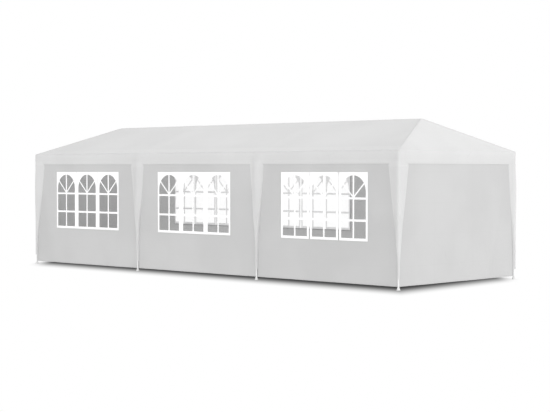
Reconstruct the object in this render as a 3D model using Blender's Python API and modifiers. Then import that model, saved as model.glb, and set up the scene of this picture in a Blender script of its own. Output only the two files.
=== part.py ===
"""Marquee tent: three bays long and one bay wide, hipped fabric roof, eight steel legs.

Metres, +Z up, origin on the ground under the middle of the tent.
The long side that the photo shows faces -Y and the plain end wall that it shows faces +X.
"""
import math

import bmesh
import bpy
from mathutils import Vector

# Plan
BAY = 2.94                     # leg to leg along the tent
HALF_L = 1.5 * BAY             # middle of the tent to the end leg axis
HALF_W = 1.50                  # middle of the tent to the side leg axis
LEG_X = (-HALF_L, -0.5 * BAY, 0.5 * BAY, HALF_L)

# Heights
EAVE_Z = 2.077                 # outer edge of the roof, where the valance folds down
RIDGE_Z = 2.602                # top of the roof
VALANCE_Z = 1.875              # bottom edge of the valance
FLAP_Z = 0.17                  # bottom of the leg covers
WALL_Z0, WALL_Z1 = 0.050, 2.020

# Tubes
LEG_R = 0.0125
POLE_R = 0.0125                # eave rails, rafters, ridge
SOCKET_R = 0.0155              # arms of the corner fittings
BALL_R = 0.0170                # knuckle where the arms meet
ARM = 0.11                     # length of those arms
GAP = 0.0004                   # between parts that touch

# Foot of each leg, a flared cup
FOOT_R, FOOT_H = 0.030, 0.044

# Fabric
COVER_T = 0.0025
WALL_T = 0.0020
FILM_T = 0.0015
WALL_IN = 0.020                # wall plane, in from the leg axis
COVER_OUT = 0.0235             # outer face of the cover, out from the leg axis

# Cover plan: snug over the eave fittings
COVER_X = HALF_L + COVER_OUT
COVER_Y = HALF_W + COVER_OUT
RIDGE_X = 3.665                # end of the ridge fold

# Leg covers: half width of the fabric at a height, narrowing downwards
FLAP_SHAPE = ((VALANCE_Z, 0.150), (1.16, 0.086), (0.80, 0.044), (0.44, 0.023), (FLAP_Z, 0.017))
CORNER_SHAPE = ((VALANCE_Z, 0.210), (1.30, 0.145), (0.80, 0.080), (0.44, 0.046), (FLAP_Z, 0.038))

# Windows: one opening per wall panel, its middle shifted a little from the bay's middle
WIN_W, WIN_Z0, WIN_Z1 = 1.803, 0.700, 1.750
WIN_SHIFT_FRONT = (0.036, -0.050, -0.034)
WIN_SHIFT_BACK = (0.050, 0.000, 0.000)
FILM_LAP = 0.016

# Frame axes, kept clear of the underside of the roof
SLOPE_SIDE = (RIDGE_Z - EAVE_Z) / COVER_Y
SLOPE_END = (RIDGE_Z - EAVE_Z) / (COVER_X - RIDGE_X)
AXIS_DROP = (COVER_T + SOCKET_R + 0.0025) * math.sqrt(1.0 + SLOPE_SIDE ** 2)
RAIL_Z = EAVE_Z + COVER_OUT * SLOPE_SIDE - AXIS_DROP
POLE_Z = RIDGE_Z - AXIS_DROP
POLE_X = RIDGE_X - 0.010

STEEL = ("powder_coated_steel", (0.86, 0.87, 0.87, 1.0), 0.38)
FITTING = ("corner_fitting", (0.80, 0.81, 0.82, 1.0), 0.42)
CANOPY = ("roof_fabric", (0.90, 0.91, 0.91, 1.0), 0.62)
PANEL = ("wall_fabric", (0.88, 0.89, 0.89, 1.0), 0.66)
FILM = ("window_film", (0.80, 0.84, 0.86, 1.0), 0.10)

for old in list(bpy.data.objects):
    bpy.data.objects.remove(old, do_unlink=True)

parts = bpy.data.collections.new("marquee_tent")
cutters = bpy.data.collections.new("cutters")
bpy.context.scene.collection.children.link(parts)
bpy.context.scene.collection.children.link(cutters)


def material(look):
    name, colour, rough = look
    found = bpy.data.materials.get(name)
    if found:
        return found
    mat = bpy.data.materials.new(name)
    mat.use_nodes = True
    shader = mat.node_tree.nodes["Principled BSDF"]
    shader.inputs["Base Color"].default_value = colour
    shader.inputs["Roughness"].default_value = rough
    mat.diffuse_color = colour
    return mat


def add(name, bm, look=None):
    """Turn a bmesh into an object; without a look it is a cutter."""
    bmesh.ops.recalc_face_normals(bm, faces=bm.faces)
    mesh = bpy.data.meshes.new(name)
    bm.to_mesh(mesh)
    bm.free()
    obj = bpy.data.objects.new(name, mesh)
    if look:
        mesh.materials.append(material(look))
        parts.objects.link(obj)
    else:
        cutters.objects.link(obj)
        obj.hide_render = True
        obj.display_type = "WIRE"
    return obj


def lathe(profile, sides, centre):
    """Closed solid of revolution about a vertical line; the profile runs from axis to axis."""
    bm = bmesh.new()
    rings = []
    for radius, z in profile:
        if radius == 0.0:
            rings.append([bm.verts.new((centre[0], centre[1], z))])
            continue
        rings.append([bm.verts.new((centre[0] + radius * math.cos(2 * math.pi * k / sides),
                                    centre[1] + radius * math.sin(2 * math.pi * k / sides), z))
                      for k in range(sides)])
    for low, high in zip(rings, rings[1:]):
        for k in range(sides):
            n = (k + 1) % sides
            if len(low) == 1:
                bm.faces.new((low[0], high[n], high[k]))
            elif len(high) == 1:
                bm.faces.new((low[k], low[n], high[0]))
            else:
                bm.faces.new((low[k], low[n], high[n], high[k]))
    return bm


def tube(start, end, radius, sides=24, turn=0.0):
    """Closed round bar between two points."""
    start, end = Vector(start), Vector(end)
    along = (end - start).normalized()
    side = along.cross(Vector((0, 0, 1)))
    if side.length < 1e-6:
        side = Vector((1, 0, 0))
    side.normalize()
    up = side.cross(along)
    bm = bmesh.new()
    ends = []
    for point in (start, end):
        ring = []
        for k in range(sides):
            a = 2 * math.pi * (k + turn) / sides
            ring.append(bm.verts.new(point + radius * (math.cos(a) * side + math.sin(a) * up)))
        ends.append(ring)
    for k in range(sides):
        n = (k + 1) % sides
        bm.faces.new((ends[0][k], ends[0][n], ends[1][n], ends[1][k]))
    bm.faces.new(list(reversed(ends[0])))
    bm.faces.new(ends[1])
    return bm


def ball(centre, radius):
    bm = bmesh.new()
    bmesh.ops.create_icosphere(bm, subdivisions=3, radius=radius)
    bmesh.ops.translate(bm, verts=bm.verts, vec=Vector(centre))
    return bm


def join(obj, bm, label):
    """Weld another solid on to an object."""
    cutter = add(obj.name + "_" + label, bm)
    mod = obj.modifiers.new("join_" + label, "BOOLEAN")
    mod.operation = "UNION"
    mod.solver = "EXACT"
    mod.object = cutter


def fitting(name, node, down, targets, corner):
    """Tube fitting with a socket towards each target; each socket is a hair thinner than the last."""
    node = Vector(node)
    if corner:
        obj = add(name, ball(node, BALL_R), FITTING)
    else:
        obj = add(name, tube(node - Vector((ARM, 0, 0)), node + Vector((ARM, 0, 0)), SOCKET_R), FITTING)
    for i, target in enumerate([down] + targets):
        way = (Vector(target) - node).normalized()
        radius = SOCKET_R - 0.0004 * (i + 1)
        join(obj, tube(node, node + ARM * way, radius, turn=0.37 + 0.11 * i), "arm%d" % (i + 1))


def pole(name, a, b, look=STEEL):
    """Straight tube between the arms of two fittings."""
    a, b = Vector(a), Vector(b)
    way = (b - a).normalized()
    return add(name, tube(a + (ARM + GAP) * way, b - (ARM + GAP) * way, POLE_R), look)


# Legs with their flared feet
leg_profile = ((0.0, 0.0), (FOOT_R, 0.0), (FOOT_R, 0.005), (0.82 * FOOT_R, 0.013),
               (0.62 * FOOT_R, 0.028), (LEG_R + 0.0035, FOOT_H), (LEG_R, FOOT_H + 0.001),
               (LEG_R, RAIL_Z - ARM - GAP), (0.0, RAIL_Z - ARM - GAP))
for side, y in (("front", -HALF_W), ("back", HALF_W)):
    for i, x in enumerate(LEG_X):
        add("leg_%s_%d" % (side, i + 1), lathe(leg_profile, 28, (x, y)), STEEL)

# Eave fittings: four at the corners, four where a rafter meets the rail
for side, y in (("front", -HALF_W), ("back", HALF_W)):
    for i, x in enumerate(LEG_X):
        corner = i in (0, 3)
        top_x = math.copysign(POLE_X, x) if corner else x
        targets = [(top_x, 0.0, POLE_Z)]
        if corner:
            targets += [(0.0, y, RAIL_Z), (x, 0.0, RAIL_Z)]
        fitting("fitting_%s_%d" % (side, i + 1), (x, y, RAIL_Z), (x, y, 0.0), targets, corner)

# Eave rails
for side, y in (("front", -HALF_W), ("back", HALF_W)):
    for i in range(3):
        pole("rail_%s_%d" % (side, i + 1), (LEG_X[i], y, RAIL_Z), (LEG_X[i + 1], y, RAIL_Z))
for side, x in (("left", -HALF_L), ("right", HALF_L)):
    pole("rail_end_" + side, (x, -HALF_W, RAIL_Z), (x, HALF_W, RAIL_Z))

# Ridge pole with its four rafter sockets
ridge = add("ridge_pole", tube((-POLE_X, 0, POLE_Z), (POLE_X, 0, POLE_Z), POLE_R), STEEL)
for i, x in enumerate((-POLE_X, LEG_X[1], LEG_X[2], POLE_X)):
    end = i in (0, 3)
    inner = x - math.copysign(0.09, x)
    outer = x if end else x + math.copysign(0.09, x)
    join(ridge, tube((inner, 0, POLE_Z), (outer, 0, POLE_Z), SOCKET_R, turn=0.5), "hub%d" % i)
    if end:
        join(ridge, ball((x, 0, POLE_Z), BALL_R), "ball%d" % i)
    foot_x = math.copysign(HALF_L, x) if end else x
    for j, y in enumerate((-HALF_W, HALF_W)):
        start = Vector((x, 0, POLE_Z))
        way = (Vector((foot_x, y, RAIL_Z)) - start).normalized()
        socket = tube(start, start + ARM * way, SOCKET_R - 0.0004 * (j + 1), turn=0.3 + 0.2 * j)
        join(ridge, socket, "arm%d%d" % (i, j))

# Rafters: four hips to the corners and two pairs between
for side, y in (("front", -HALF_W), ("back", HALF_W)):
    for i, x in enumerate(LEG_X):
        top_x = math.copysign(POLE_X, x) if i in (0, 3) else x
        kind = "hip" if i in (0, 3) else "rafter"
        pole("%s_%s_%d" % (kind, side, i + 1), (x, y, RAIL_Z), (top_x, 0.0, POLE_Z))


def panel(name, along, plane, span, z_range, hole, look, thick):
    """Upright flat sheet. along is 'x' or 'y'; hole is (low, high, z low, z high) or None."""
    bm = bmesh.new()
    z0, z1 = z_range

    def point(u, z, side):
        v = plane + side * 0.5 * thick
        return (u, v, z) if along == "x" else (v, u, z)

    def loop(u0, u1, a, b, side):
        return [bm.verts.new(point(u, z, side)) for u, z in ((u0, a), (u1, a), (u1, b), (u0, b))]

    outer = [loop(span[0], span[1], z0, z1, s) for s in (-1, 1)]
    inner = [loop(hole[0], hole[1], hole[2], hole[3], s) for s in (-1, 1)] if hole else None
    for s in range(2):
        if inner:
            for k in range(4):
                n = (k + 1) % 4
                bm.faces.new((outer[s][k], outer[s][n], inner[s][n], inner[s][k]))
        else:
            bm.faces.new(outer[s])
    for k in range(4):
        n = (k + 1) % 4
        bm.faces.new((outer[0][k], outer[0][n], outer[1][n], outer[1][k]))
        if inner:
            bm.faces.new((inner[0][k], inner[0][n], inner[1][n], inner[1][k]))
    return add(name, bm, look)


# Side walls with their windows, hung just inside the legs
PLACE = ("left", "mid", "right")
for side, sign, shifts in (("front", -1, WIN_SHIFT_FRONT), ("back", 1, WIN_SHIFT_BACK)):
    wall_y = sign * (HALF_W - WALL_IN)
    film_y = sign * (HALF_W - WALL_IN - 0.5 * (WALL_T + FILM_T) - GAP)
    for i in range(3):
        mid = 0.5 * (LEG_X[i] + LEG_X[i + 1]) + shifts[i]
        low = LEG_X[i] + (0.030 if i == 0 else 0.003)
        high = LEG_X[i + 1] - (0.030 if i == 2 else 0.003)
        w0, w1 = mid - 0.5 * WIN_W, mid + 0.5 * WIN_W
        panel("wall_%s_%s" % (side, PLACE[i]), "x", wall_y, (low, high), (WALL_Z0, WALL_Z1),
              (w0, w1, WIN_Z0, WIN_Z1), PANEL, WALL_T)
        panel("window_%s_%s" % (side, PLACE[i]), "x", film_y, (w0 - FILM_LAP, w1 + FILM_LAP),
              (WIN_Z0 - FILM_LAP, WIN_Z1 + FILM_LAP), None, FILM, FILM_T)

# Plain end walls
for side, x in (("left", -HALF_L + WALL_IN), ("right", HALF_L - WALL_IN)):
    reach = HALF_W - 0.030
    panel("wall_end_" + side, "y", x, (-reach, reach), (WALL_Z0, WALL_Z1), None, PANEL, WALL_T)


def comb(bm, corner_a, corner_b, half, legs, point):
    """One upright side of the cover: valance with a tapering leg cover at every leg."""
    low = [(-half + w, z) for z, w in reversed(CORNER_SHAPE)]
    high = [(half - w, z) for z, w in CORNER_SHAPE]
    row = [(-half, FLAP_Z)] + low
    for u in legs:
        row += [(u - w, z) for z, w in FLAP_SHAPE]
        row += [(u + w, z) for z, w in reversed(FLAP_SHAPE)]
    row += high + [(half, FLAP_Z)]
    verts = [bm.verts.new(point(u, z)) for u, z in row]
    bm.faces.new([corner_a] + verts + [corner_b])


# Roof, valance and leg covers: one sewn sheet, built as a surface and given its thickness
cover = bmesh.new()
eave = {(sx, sy): cover.verts.new((sx * COVER_X, sy * COVER_Y, EAVE_Z))
        for sx in (-1, 1) for sy in (-1, 1)}
top = {sx: cover.verts.new((sx * RIDGE_X, 0.0, RIDGE_Z)) for sx in (-1, 1)}
for sy in (-1, 1):
    cover.faces.new((eave[(-1, sy)], eave[(1, sy)], top[1], top[-1]))
    comb(cover, eave[(-1, sy)], eave[(1, sy)], COVER_X, LEG_X[1:3],
         lambda u, z, s=sy: (u, s * COVER_Y, z))
for sx in (-1, 1):
    cover.faces.new((eave[(sx, -1)], eave[(sx, 1)], top[sx]))
    comb(cover, eave[(sx, -1)], eave[(sx, 1)], COVER_Y, (),
         lambda u, z, s=sx: (s * COVER_X, u, z))
bmesh.ops.remove_doubles(cover, verts=cover.verts, dist=1e-5)
bmesh.ops.triangulate(cover, faces=cover.faces)
roof = add("roof_cover", cover, CANOPY)
shell = roof.modifiers.new("thickness", "SOLIDIFY")
shell.thickness = COVER_T
shell.offset = -1.0
shell.use_even_offset = True
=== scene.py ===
"""Marquee tent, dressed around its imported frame: fabric roof and walls, window film, legs, light.

Metres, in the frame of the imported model: +X along the tent, the windowed side of the photo at -Y.
"""
import math

import bmesh
import bpy
import numpy as np
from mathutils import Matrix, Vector, geometry, noise
from mathutils.bvhtree import BVHTree


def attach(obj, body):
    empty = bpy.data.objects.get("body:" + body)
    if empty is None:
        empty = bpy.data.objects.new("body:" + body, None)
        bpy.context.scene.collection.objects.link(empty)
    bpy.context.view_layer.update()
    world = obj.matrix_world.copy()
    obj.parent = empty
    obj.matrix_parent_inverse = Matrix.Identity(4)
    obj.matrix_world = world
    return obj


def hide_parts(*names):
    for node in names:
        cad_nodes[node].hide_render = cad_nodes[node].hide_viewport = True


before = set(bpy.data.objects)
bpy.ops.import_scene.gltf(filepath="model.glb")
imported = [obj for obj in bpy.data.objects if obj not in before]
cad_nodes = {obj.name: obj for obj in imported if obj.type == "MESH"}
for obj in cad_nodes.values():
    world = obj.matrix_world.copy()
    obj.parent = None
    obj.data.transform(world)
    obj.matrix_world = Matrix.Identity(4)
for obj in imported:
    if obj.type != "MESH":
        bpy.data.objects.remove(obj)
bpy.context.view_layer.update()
scene = bpy.context.scene

# Sizes shared with the CAD source
BAY = 2.94
HALF_L, HALF_W = 1.5 * BAY, 1.50
LEG_X = (-HALF_L, -0.5 * BAY, 0.5 * BAY, HALF_L)
EAVE_Z, RIDGE_Z, VALANCE_Z, FLAP_Z = 2.077, 2.602, 1.875, 0.17
WALL_Z0, WALL_Z1 = 0.050, 2.020
LEG_R, POLE_R, SOCKET_R, ARM = 0.0125, 0.0125, 0.0155, 0.11
COVER_OUT = 0.0235
COVER_X, COVER_Y = HALF_L + COVER_OUT, HALF_W + COVER_OUT
RIDGE_X = 3.665
# Leg covers: half width at each height, and how each one's top differs, front left to right, then the back
FLAP_SHAPE = ((VALANCE_Z, 0.150), (1.16, 0.078), (0.80, 0.030), (0.50, 0.0100), (FLAP_Z, 0.0060))
CORNER_SHAPE = ((VALANCE_Z, 0.210), (1.30, 0.140), (0.80, 0.070), (0.50, 0.038), (0.36, 0.030), (FLAP_Z, 0.027))
TOP_WIDER = (0.040, 0.005, -0.008, 0.025, 0.0, 0.005, -0.004, -0.045)
TOP_SHIFT = (0.0, -0.016, -0.004, 0.022, 0.0, 0.006, -0.010, 0.0)
WALL_IN = 0.016
CORNER_CLEAR = 0.016
WIN_W, WIN_Z0, WIN_Z1 = 1.803, 0.700, 1.750
WIN_SHIFT = {"front": (0.036, -0.050, -0.034), "back": (0.050, 0.000, 0.000)}
FILM_LAP = 0.016
PLACE = ("left", "mid", "right")
SLOPE_SIDE = (RIDGE_Z - EAVE_Z) / COVER_Y
SLOPE_END = (RIDGE_Z - EAVE_Z) / (COVER_X - RIDGE_X)
AXIS_DROP = (SOCKET_R + 0.0050) * math.sqrt(1.0 + SLOPE_SIDE ** 2)
RAIL_Z = EAVE_Z + COVER_OUT * SLOPE_SIDE - AXIS_DROP


def link_inputs(tree, node, values):
    """Set a node's inputs: a socket is linked, anything else is its value."""
    for key, value in values.items():
        socket = node.inputs[key]
        if isinstance(value, bpy.types.NodeSocket):
            tree.links.new(value, socket)
        else:
            socket.default_value = value


def make(tree, kind, inputs=None, out=0, **props):
    """Add a node with its properties and inputs, and return one of its outputs."""
    node = tree.nodes.new(kind)
    for key, value in props.items():
        setattr(node, key, value)
    link_inputs(tree, node, inputs or {})
    return node.outputs[out] if node.outputs else node


def calc(tree, operation, *values):
    return make(tree, "ShaderNodeMath", dict(enumerate(values)), operation=operation)


def new_material(name):
    mat = bpy.data.materials.new(name)
    mat.use_nodes = True
    mat.node_tree.nodes.clear()
    return mat, mat.node_tree


def finish_material(tree, shader):
    out = tree.nodes.new("ShaderNodeOutputMaterial")
    tree.links.new(shader, out.inputs["Surface"])


def mix_colour(tree, factor, a, b):
    node = tree.nodes.new("ShaderNodeMix")
    node.data_type = "RGBA"
    for index, value in ((0, factor), (6, a), (7, b)):
        if isinstance(value, bpy.types.NodeSocket):
            tree.links.new(value, node.inputs[index])
        else:
            node.inputs[index].default_value = value
    return node.outputs[2]


def grey(value, tint=(0.0, 0.0, 0.0)):
    return (value + tint[0], value + tint[1], value + tint[2], 1.0)


def line_mask(tree, distance, centre, half):
    """1 on a line of half width half at that distance, soft at its edges."""
    away = calc(tree, "ABSOLUTE", calc(tree, "SUBTRACT", distance, centre))
    return make(tree, "ShaderNodeMapRange", {"Value": away, "From Min": 0.6 * half, "From Max": half,
                                             "To Min": 1.0, "To Max": 0.0}, interpolation_type="SMOOTHSTEP")


def stitches(tree, distance, centre, along):
    """Sewn line: short dashes along it."""
    dash = calc(tree, "GREATER_THAN", calc(tree, "SINE", calc(tree, "MULTIPLY", along, 2 * math.pi / 0.0045)), -0.4)
    return calc(tree, "MULTIPLY", line_mask(tree, distance, centre, 0.0009), dash)


def crease_lines(tree, place, scale, width, patch):
    """Short straight creases of crumpled sheet that meet at their ends and come in patches, patch across."""
    edge = make(tree, "ShaderNodeTexVoronoi", {"Vector": place, "Scale": scale}, out="Distance",
                feature="DISTANCE_TO_EDGE")
    line = make(tree, "ShaderNodeMapRange", {"Value": edge, "From Min": 0.0, "From Max": width * scale,
                                             "To Min": 1.0, "To Max": 0.0}, interpolation_type="SMOOTHSTEP")
    here = make(tree, "ShaderNodeTexNoise", {"Vector": place, "Scale": 1.0 / patch, "Detail": 2.0})
    here = make(tree, "ShaderNodeMapRange", {"Value": here, "From Min": 0.48, "From Max": 0.66},
                interpolation_type="SMOOTHSTEP")
    return calc(tree, "MULTIPLY", line, here)


def grid_lines(tree, axis, pitch):
    """Straight lines at a pitch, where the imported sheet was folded."""
    saw = calc(tree, "PINGPONG", calc(tree, "ADD", axis, 0.13), 0.5 * pitch)
    return make(tree, "ShaderNodeMapRange", {"Value": saw, "From Min": 0.0, "From Max": 0.005,
                                             "To Min": 1.0, "To Max": 0.0}, interpolation_type="SMOOTHSTEP")


# In the cover's cloth coordinates the ends lie beyond this, the sides before it
END_CLOTH = 10.0


def woven_sheet(name, colour, shade, rough, through, stitched=0.0, fold=(0.49, 0.47), painted_bands=()):
    """Laminated sheet woven from flat tapes. A tape stitched along both edges gives its width as stitched.

    Bands along the sides' eaves are painted a little darker or brighter, as painted shade and painted light: (middle,
    half width, share, tone) of each.
    """
    mat, tree = new_material(name)
    uv = make(tree, "ShaderNodeUVMap", uv_map="cloth")
    part = tree.nodes.new("ShaderNodeSeparateXYZ")
    tree.links.new(uv, part.inputs[0])
    u, v = part.outputs[0], part.outputs[1]
    place = make(tree, "ShaderNodeTexCoord", out="Object")

    # over and under of the tapes, 2.4 mm wide
    tape = math.pi / 0.0024
    weave = calc(tree, "MULTIPLY", calc(tree, "SINE", calc(tree, "MULTIPLY", u, tape)),
                 calc(tree, "SINE", calc(tree, "MULTIPLY", v, tape)))
    # wide soft crumples, finer crinkles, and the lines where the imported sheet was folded
    crumple = make(tree, "ShaderNodeTexNoise", {"Vector": place, "Scale": 3.2, "Detail": 4.0, "Roughness": 0.45,
                                                "Distortion": 0.6})
    fine = make(tree, "ShaderNodeTexNoise", {"Vector": place, "Scale": 17.0, "Detail": 3.0, "Roughness": 0.5})
    crease = crease_lines(tree, place, 5.0, 0.0030, 0.45)
    crinkle = crease_lines(tree, place, 17.0, 0.0016, 0.22)
    folds = calc(tree, "MAXIMUM", grid_lines(tree, u, fold[0]), grid_lines(tree, v, fold[1]))
    bump = make(tree, "ShaderNodeBump", {"Strength": 0.5, "Distance": 0.0050, "Height": crumple})
    bump = make(tree, "ShaderNodeBump", {"Strength": 0.5, "Distance": 0.0020, "Height": fine, "Normal": bump})
    bump = make(tree, "ShaderNodeBump", {"Strength": 0.5, "Distance": 0.0016, "Height": crease, "Normal": bump})
    bump = make(tree, "ShaderNodeBump", {"Strength": 0.4, "Distance": 0.0010, "Height": crinkle, "Normal": bump})
    bump = make(tree, "ShaderNodeBump", {"Strength": 0.4, "Distance": 0.0012, "Height": folds, "Normal": bump})
    bump = make(tree, "ShaderNodeBump", {"Strength": 0.35, "Distance": 0.00022, "Height": weave, "Normal": bump})

    cloud = make(tree, "ShaderNodeTexNoise", {"Vector": place, "Scale": 0.9, "Detail": 2.0, "Roughness": 0.5})
    cloud = make(tree, "ShaderNodeMapRange", {"Value": cloud, "From Min": 0.36, "From Max": 0.64},
                 interpolation_type="SMOOTHSTEP")
    tone = mix_colour(tree, cloud, colour, shade)
    # crease, crinkle and fold lines painted darker, partly real crease marks and partly painted shade; the weave's low
    # parts painted darker, a painted shade in its hollows
    mark_and_shade_tone = tuple(0.88 * c for c in shade[:3]) + (1.0,)
    crease_marks_and_shade = calc(tree, "MAXIMUM", calc(tree, "MULTIPLY", crease, 0.45), calc(tree, "MULTIPLY", crinkle, 0.22))
    crease_marks_and_shade = calc(tree, "MAXIMUM", crease_marks_and_shade, calc(tree, "MULTIPLY", folds, 0.35))
    low = make(tree, "ShaderNodeMapRange", {"Value": weave, "From Min": -1.0, "From Max": 1.0,
                                            "To Min": 0.22, "To Max": 0.0})
    tone = mix_colour(tree, calc(tree, "MAXIMUM", crease_marks_and_shade, low), tone, mark_and_shade_tone)
    # painted light and shade in bands along the side eaves
    for middle, half, share, painted_tone in painted_bands:
        mask = calc(tree, "MULTIPLY", line_mask(tree, v, middle, half), calc(tree, "LESS_THAN", u, END_CLOTH))
        tone = mix_colour(tree, calc(tree, "MULTIPLY", mask, share), tone, painted_tone)
    if stitched:
        edge = calc(tree, "SUBTRACT", 0.5 * stitched,
                    calc(tree, "ABSOLUTE", calc(tree, "SUBTRACT", v, 0.5 * stitched)))
        thread = stitches(tree, edge, 0.0035, u)
        bump = make(tree, "ShaderNodeBump", {"Strength": 0.8, "Distance": 0.0006, "Height": thread, "Normal": bump})
        tone = mix_colour(tree, calc(tree, "MULTIPLY", thread, 0.35), tone, grey(0.42))
    gloss = make(tree, "ShaderNodeMapRange", {"Value": fine, "To Min": rough - 0.06, "To Max": rough + 0.08})
    shell = make(tree, "ShaderNodeBsdfPrincipled", {
        "Base Color": tone, "Roughness": gloss, "Normal": bump, "Specular IOR Level": 0.12})
    glow = make(tree, "ShaderNodeBsdfTranslucent", {"Color": tone, "Normal": bump})
    finish_material(tree, make(tree, "ShaderNodeMixShader", {0: through, 1: shell, 2: glow}))
    return mat


def clear_film():
    mat, tree = new_material("clear_film")
    place = make(tree, "ShaderNodeTexCoord", out="Object")
    waves = make(tree, "ShaderNodeTexNoise", {"Vector": place, "Scale": 5.0, "Detail": 2.0, "Distortion": 0.8})
    bump = make(tree, "ShaderNodeBump", {"Strength": 0.5, "Distance": 0.006, "Height": waves})
    scuffs = make(tree, "ShaderNodeTexNoise", {"Vector": place, "Scale": 60.0, "Detail": 5.0, "Roughness": 0.7})
    haze = make(tree, "ShaderNodeMapRange", {"Value": scuffs, "From Min": 0.45, "From Max": 0.8,
                                             "To Min": 0.003, "To Max": 0.016})
    clear = make(tree, "ShaderNodeBsdfTransparent", {"Color": (0.996, 0.996, 0.996, 1.0)})
    milk = make(tree, "ShaderNodeBsdfDiffuse", {"Color": (0.87, 0.87, 0.87, 1.0)})
    shine = make(tree, "ShaderNodeBsdfGlossy", {"Color": (1.0, 1.0, 1.0, 1.0), "Roughness": 0.06, "Normal": bump})
    body = make(tree, "ShaderNodeMixShader", {0: haze, 1: clear, 2: milk})
    # the same from both sides: about 4 % straight on, rising steeply at a grazing angle
    facing = make(tree, "ShaderNodeLayerWeight", {"Normal": bump}, out="Facing")
    edge = calc(tree, "ADD", 0.018, calc(tree, "MULTIPLY", 0.9, calc(tree, "POWER", facing, 5.0)))
    finish_material(tree, make(tree, "ShaderNodeMixShader", {0: edge, 1: body, 2: shine}))
    return mat


def coated(name, colour, rough, wear=0.0):
    """Powder coat with a fine orange peel and a little rubbing."""
    mat, tree = new_material(name)
    place = make(tree, "ShaderNodeTexCoord", out="Object")
    peel = make(tree, "ShaderNodeTexNoise", {"Vector": place, "Scale": 420.0, "Detail": 2.0})
    smear = make(tree, "ShaderNodeTexNoise", {"Vector": place, "Scale": 9.0, "Detail": 5.0, "Roughness": 0.65})
    bump = make(tree, "ShaderNodeBump", {"Strength": 0.25, "Distance": 0.0003, "Height": peel})
    mask = make(tree, "ShaderNodeMapRange", {"Value": smear, "From Min": 0.52, "From Max": 0.78,
                                             "To Min": 0.0, "To Max": 0.35 + wear})
    tone = mix_colour(tree, mask, colour, tuple(0.82 * c for c in colour[:3]) + (1.0,))
    gloss = make(tree, "ShaderNodeMapRange", {"Value": smear, "To Min": rough - 0.08, "To Max": rough + 0.14})
    shader = make(tree, "ShaderNodeBsdfPrincipled", {"Base Color": tone, "Roughness": gloss, "Normal": bump})
    finish_material(tree, shader)
    return mat


def plain_print():
    """White printed bars on the film, slightly uneven."""
    mat, tree = new_material("window_print")
    place = make(tree, "ShaderNodeTexCoord", out="Object")
    speck = make(tree, "ShaderNodeTexNoise", {"Vector": place, "Scale": 90.0, "Detail": 4.0, "Roughness": 0.6})
    bump = make(tree, "ShaderNodeBump", {"Strength": 0.2, "Distance": 0.0004, "Height": speck})
    tone = mix_colour(tree, speck, grey(0.985), grey(0.96))
    shell = make(tree, "ShaderNodeBsdfPrincipled", {"Base Color": tone, "Roughness": 0.38, "Normal": bump})
    glow = make(tree, "ShaderNodeBsdfTranslucent", {"Color": tone, "Normal": bump})
    finish_material(tree, make(tree, "ShaderNodeMixShader", {0: 0.21, 1: shell, 2: glow}))
    return mat


def simple_metal(name, colour, rough):
    mat, tree = new_material(name)
    place = make(tree, "ShaderNodeTexCoord", out="Object")
    streak = make(tree, "ShaderNodeTexNoise", {"Vector": place, "Scale": 260.0, "Detail": 4.0})
    gloss = make(tree, "ShaderNodeMapRange", {"Value": streak, "To Min": rough - 0.07, "To Max": rough + 0.12})
    bump = make(tree, "ShaderNodeBump", {"Strength": 0.2, "Distance": 0.0002, "Height": streak})
    finish_material(tree, make(tree, "ShaderNodeBsdfPrincipled", {
        "Base Color": colour, "Metallic": 1.0, "Roughness": gloss, "Normal": bump}))
    return mat


def elastic_cord():
    mat, tree = new_material("elastic_cord")
    place = make(tree, "ShaderNodeTexCoord", out="Object")
    braid = make(tree, "ShaderNodeTexWave", {"Vector": place, "Scale": 260.0, "Distortion": 1.5, "Detail": 1.0})
    bump = make(tree, "ShaderNodeBump", {"Strength": 0.5, "Distance": 0.0005, "Height": braid})
    # the braid is painted darker where it is lower, a painted shade in its grooves
    tone = mix_colour(tree, braid, grey(0.62), grey(0.80))
    finish_material(tree, make(tree, "ShaderNodeBsdfPrincipled", {
        "Base Color": tone, "Roughness": 0.75, "Normal": bump}))
    return mat


# Painted light and shade along the side eaves: the valance painted darker below the fold and brighter at its hem;
# above, the slope painted brighter
EAVE_PAINTED_LIGHT_SHADE = ((-0.060, 0.090, 0.13, grey(0.606)), (-0.205, 0.050, 0.35, grey(0.736)), (0.110, 0.130, 0.45, grey(0.736)))
ROOF_CLOTH = woven_sheet("roof_cloth", grey(0.711), grey(0.689), 0.46, 0.26, painted_bands=EAVE_PAINTED_LIGHT_SHADE)
WALL_CLOTH = woven_sheet("wall_cloth", grey(0.581), grey(0.551), 0.50, 0.26)
ROOF_TAPE = woven_sheet("roof_tape", grey(0.710), grey(0.691), 0.50, 0.22, stitched=0.020)
WALL_TAPE = woven_sheet("wall_tape", grey(0.577), grey(0.553), 0.52, 0.22, stitched=0.020)
FILM = clear_film()
PRINT = plain_print()
STEEL = coated("white_powder_coat", grey(0.65), 0.36)
FITTING = coated("fitting_coat", grey(0.64), 0.42, 0.2)
FOOT_COAT = coated("foot_coat", grey(0.61), 0.44, 0.15)
NICKEL = simple_metal("nickel", (0.74, 0.73, 0.70, 1.0), 0.3)
ELASTIC = elastic_cord()


def add_mesh(name, points, faces, mat, smooth=True):
    mesh = bpy.data.meshes.new(name)
    mesh.from_pydata([tuple(p) for p in points], [], faces)
    mesh.update()
    mesh.materials.append(mat)
    if smooth:
        mesh.shade_smooth()
    obj = bpy.data.objects.new(name, mesh)
    scene.collection.objects.link(obj)
    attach(obj, "root")
    return obj


def write_uv(mesh, per_vertex):
    layer = mesh.uv_layers.new(name="cloth")
    index = np.zeros(len(mesh.loops), np.int32)
    mesh.loops.foreach_get("vertex_index", index)
    layer.data.foreach_set("uv", np.asarray(per_vertex, np.float32)[index].ravel())


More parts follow.
